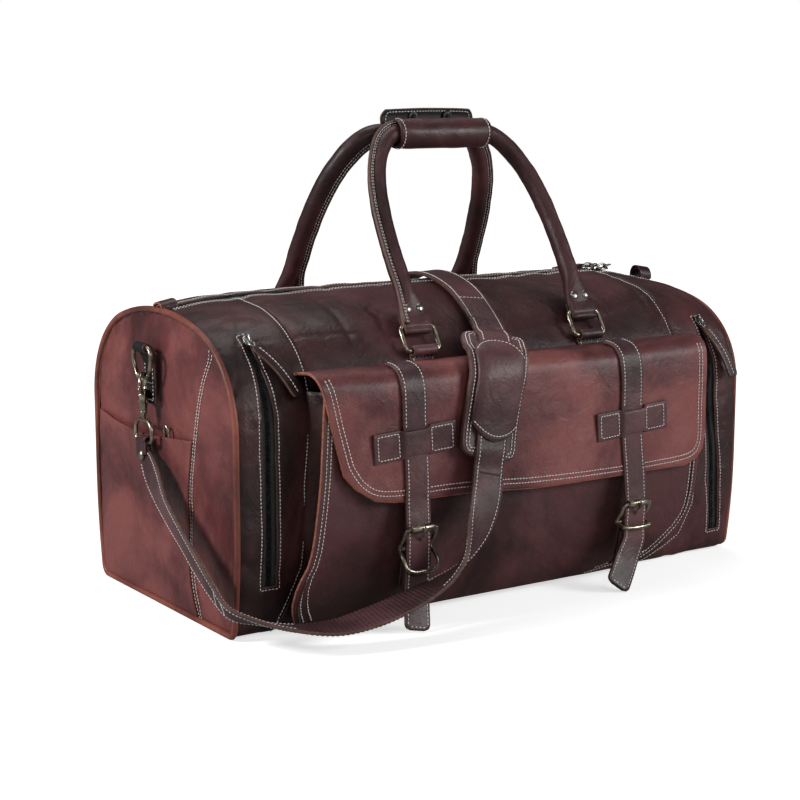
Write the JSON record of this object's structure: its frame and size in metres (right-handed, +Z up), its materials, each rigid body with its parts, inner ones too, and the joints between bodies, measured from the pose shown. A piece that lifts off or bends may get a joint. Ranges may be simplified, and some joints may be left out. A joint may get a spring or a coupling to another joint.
{
  "type": "duffel bag",
  "caption": "Leather duffel bag with rolled handles, buckled front pocket, side zips, end rings and a padded shoulder strap.",
  "frame": {"origin": "middle of the flat base, on its underside", "axes": "+X along the bag towards its right end, -Y out of the front with the buckled pocket, +Z up"},
  "size_m": [0.6719, 0.411, 0.472],
  "materials": {
    "brown_leather": "dark brown pull-up leather, half gloss",
    "red_leather": "reddish brown pull-up leather, half gloss",
    "strap_leather": "dark strap leather with off-white stitching",
    "piping": "reddish tan leather piping",
    "antique_metal": "antique plated metal, worn bright on its edges",
    "zip_tape": "black woven zip tape with coil teeth",
    "lining": "dark cotton lining",
    "board": "stiffening board"
  },
  "bodies": {
    "root": {"front_panel": "brown_leather", "back_panel": "brown_leather", "left_end_band": "brown_leather", "right_end_band": "brown_leather", "left_side_zip_tape": "zip_tape", "right_side_zip_tape": "zip_tape", "left_end_panel": "red_leather", "right_end_panel": "red_leather", "left_piping": "piping", "right_piping": "piping", "base_panel": "brown_leather", "base_board": "board", "lining": "lining", "top_zip_tape": "zip_tape", "zip_end_tab_left": "brown_leather", "zip_end_tab_right": "brown_leather", "front_pocket": "brown_leather", "buckle_chape_left": "strap_leather", "buckle_chape_right": "strap_leather", "front_ring_tab_left": "brown_leather", "front_ring_tab_right": "brown_leather", "back_ring_tab_left": "brown_leather", "back_ring_tab_right": "brown_leather", "end_slip_pocket": "red_leather", "left_end_tab": "red_leather", "right_end_tab": "red_leather", "left_end_ring": "antique_metal", "right_end_ring": "antique_metal", "left_hook": "antique_metal", "right_hook": "antique_metal", "shoulder_strap_front": "strap_leather", "shoulder_strap_back": "strap_leather"},
    "flap": {"pocket_flap": "red_leather", "flap_strap_left": "strap_leather", "flap_strap_right": "strap_leather", "strap_keeper_left": "strap_leather", "strap_keeper_right": "strap_leather", "shoulder_pad": "brown_leather"},
    "front_handle": {"front_handle": "brown_leather", "front_ring_left": "antique_metal", "front_ring_right": "antique_metal", "grip_wrap": "brown_leather"},
    "back_handle": {"back_handle": "brown_leather", "back_ring_left": "antique_metal", "back_ring_right": "antique_metal"},
    "wrap_flap": {"grip_wrap_flap": "brown_leather"},
    "top_slider_left": {"top_slider_left": "antique_metal"},
    "top_slider_right": {"top_slider_right": "antique_metal"},
    "left_zip_slider": {"left_zip_slider": "antique_metal"},
    "right_zip_slider": {"right_zip_slider": "antique_metal"},
    "left_zip_pull": {"left_zip_pull": "brown_leather"},
    "right_zip_pull": {"right_zip_pull": "brown_leather"},
    "buckle_left": {"buckle_frame_left": "antique_metal"},
    "buckle_right": {"buckle_frame_right": "antique_metal"},
    "roller_left": {"buckle_roller_left": "antique_metal"},
    "roller_right": {"buckle_roller_right": "antique_metal"},
    "prong_left": {"buckle_prong_left": "antique_metal"},
    "prong_right": {"buckle_prong_right": "antique_metal"},
    "left_gate": {"left_hook_gate": "antique_metal"},
    "right_gate": {"right_hook_gate": "antique_metal"}
  },
  "joints": [
    {"name": "flap_fold", "type": "hinge", "parent": "root", "child": "flap", "pos_m": [0, -0.1645, 0.2425], "axis": [-1, 0, 0], "range_deg": [0, 140], "deforming": ["flap_strap_left", "flap_strap_right", "shoulder_pad", "shoulder_strap_front", "shoulder_strap_back"]},
    {"name": "front_handle_swing", "type": "hinge", "parent": "root", "child": "front_handle", "pos_m": [0.005, -0.1375, 0.249], "axis": [-1, 0, 0], "range_deg": [-112, 0]},
    {"name": "back_handle_swing", "type": "hinge", "parent": "root", "child": "back_handle", "pos_m": [0.005, 0.1375, 0.249], "axis": [-1, 0, 0], "range_deg": [0, 175]},
    {"name": "grip_wrap_snap_flap", "type": "hinge", "parent": "front_handle", "child": "wrap_flap", "pos_m": [0.005, -0.0016, 0.4505], "axis": [-1, 0, 0], "range_deg": [0, 64]},
    {"name": "top_zip_left", "type": "slide", "parent": "root", "child": "top_slider_left", "axis": [-1, 0, 0], "range_m": [0, 0.4]},
    {"name": "top_zip_right", "type": "slide", "parent": "root", "child": "top_slider_right", "axis": [1, 0, 0], "range_m": [0, 0.03]},
    {"name": "left_side_zip", "type": "hinge", "parent": "root", "child": "left_zip_slider", "pos_m": [-0.269, -0.047, 0.19], "axis": [1, 0, 0], "range_deg": [0, 48]},
    {"name": "right_side_zip", "type": "hinge", "parent": "root", "child": "right_zip_slider", "pos_m": [0.263, -0.047, 0.19], "axis": [1, 0, 0], "range_deg": [0, 34]},
    {"name": "left_side_zip_pull", "type": "hinge", "parent": "left_zip_slider", "child": "left_zip_pull", "pos_m": [-0.26768, -0.12162, 0.26579], "axis": [-0.8988, -0.3258, -0.2933], "range_deg": [0, 90]},
    {"name": "right_side_zip_pull", "type": "hinge", "parent": "right_zip_slider", "child": "right_zip_pull", "pos_m": [0.26403, -0.13781, 0.24539], "axis": [-0.9397, -0.1913, -0.2835], "range_deg": [0, 90]},
    {"name": "buckle_tilt_left", "type": "hinge", "parent": "root", "child": "buckle_left", "pos_m": [-0.138, -0.1852, 0.075], "axis": [1, 0, 0], "range_deg": [-12, 12]},
    {"name": "buckle_roller_spin_left", "type": "hinge", "parent": "buckle_left", "child": "roller_left", "pos_m": [-0.138, -0.1968, 0.095], "axis": [1, 0, 0], "continuous": true},
    {"name": "buckle_prong_lift_left", "type": "hinge", "parent": "buckle_left", "child": "prong_left", "pos_m": [-0.138, -0.1852, 0.075], "axis": [1, 0, 0], "range_deg": [0, 75]},
    {"name": "buckle_tilt_right", "type": "hinge", "parent": "root", "child": "buckle_right", "pos_m": [0.122, -0.1852, 0.065], "axis": [1, 0, 0], "range_deg": [-12, 12]},
    {"name": "buckle_roller_spin_right", "type": "hinge", "parent": "buckle_right", "child": "roller_right", "pos_m": [0.122, -0.1968, 0.085], "axis": [1, 0, 0], "continuous": true},
    {"name": "buckle_prong_lift_right", "type": "hinge", "parent": "buckle_right", "child": "prong_right", "pos_m": [0.122, -0.1852, 0.065], "axis": [1, 0, 0], "range_deg": [0, 75]},
    {"name": "left_hook_gate_press", "type": "hinge", "parent": "root", "child": "left_gate", "pos_m": [-0.3225, 0.00064, 0.211], "axis": [-0.766, 0.6428, 0], "range_deg": [0, 25], "stiffness_Nm_per_rad": 0.02},
    {"name": "right_hook_gate_press", "type": "hinge", "parent": "root", "child": "right_gate", "pos_m": [0.3225, 0.00064, 0.211], "axis": [-0.766, -0.6428, 0], "range_deg": [0, 25], "stiffness_Nm_per_rad": 0.02}
  ]
}
